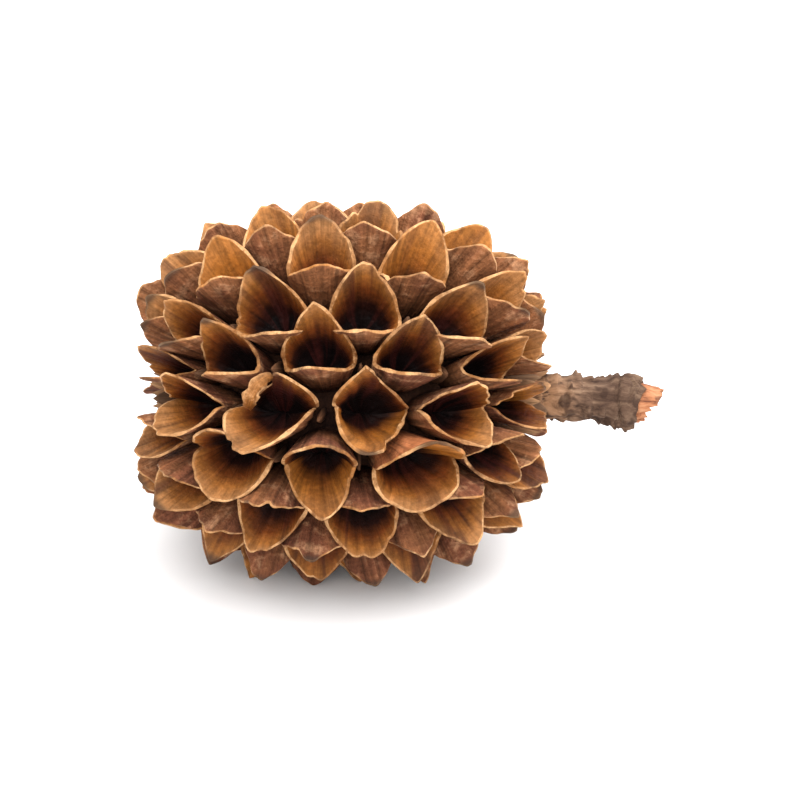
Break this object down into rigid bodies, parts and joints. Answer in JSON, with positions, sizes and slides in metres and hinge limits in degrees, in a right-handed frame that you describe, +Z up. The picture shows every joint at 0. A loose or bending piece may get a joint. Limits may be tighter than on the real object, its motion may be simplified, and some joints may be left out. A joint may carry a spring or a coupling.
{
  "type": "casuarina cone",
  "caption": "Woody barrel-shaped she-oak cone, its seed cups open in pairs of pointed valves, with a short broken stalk, lying on its side.",
  "frame": {"origin": "bottom centre of the whole part's box, on the surface that the cone lies on", "axes": "+X along the cone's axis towards the stalk's broken end, the longest extent; +Z up; +Y completes the frame"},
  "size_m": [0.0222, 0.0168, 0.0161],
  "materials": {
    "cone": "dry, matt, fibrous wood, tan on the valves' rims and inner faces, pinkish brown outside and nearly black deep in the cups",
    "stalk": "rough, matt, grey-brown bark, with pale orange wood at the broken end"
  },
  "bodies": {
    "root": {"cone": "cone", "stalk": "stalk"}
  },
  "joints": []
}
